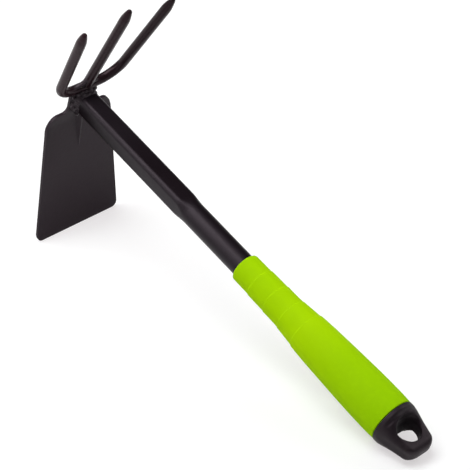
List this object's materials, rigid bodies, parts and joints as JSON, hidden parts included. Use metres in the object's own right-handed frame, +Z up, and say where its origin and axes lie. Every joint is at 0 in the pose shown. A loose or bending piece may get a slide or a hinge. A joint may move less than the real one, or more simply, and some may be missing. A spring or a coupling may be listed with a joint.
{
  "type": "double hoe",
  "caption": "Hand hoe with a blade on one side of its head and cultivator tines on the other, on a steel tube with a soft grip and a hanging eye.",
  "frame": {"origin": "middle of the footprint, on the ground plane that the blade's edge and the cap's collar rest on", "axes": "+X from the head towards the end cap, +Y sideways along the cutting edge, +Z up; the tool lies as in the picture, tines up"},
  "size_m": [0.3798, 0.0854, 0.2234],
  "materials": {
    "black_steel": "satin black powder coat",
    "weld_metal": "satin black powder coat over weld beads",
    "core_plastic": "matte black",
    "green_rubber": "matte lime green",
    "cap_plastic": "satin black"
  },
  "bodies": {
    "root": {"hoe_blade": "black_steel", "outer_tines": "black_steel", "middle_tine": "black_steel", "handle_tube": "black_steel", "tube_weld": "weld_metal", "fork_weld": "weld_metal", "tine_weld_left": "weld_metal", "tine_weld_right": "weld_metal", "grip_core": "core_plastic", "grip_sleeve": "green_rubber", "end_cap": "cap_plastic"}
  },
  "joints": []
}
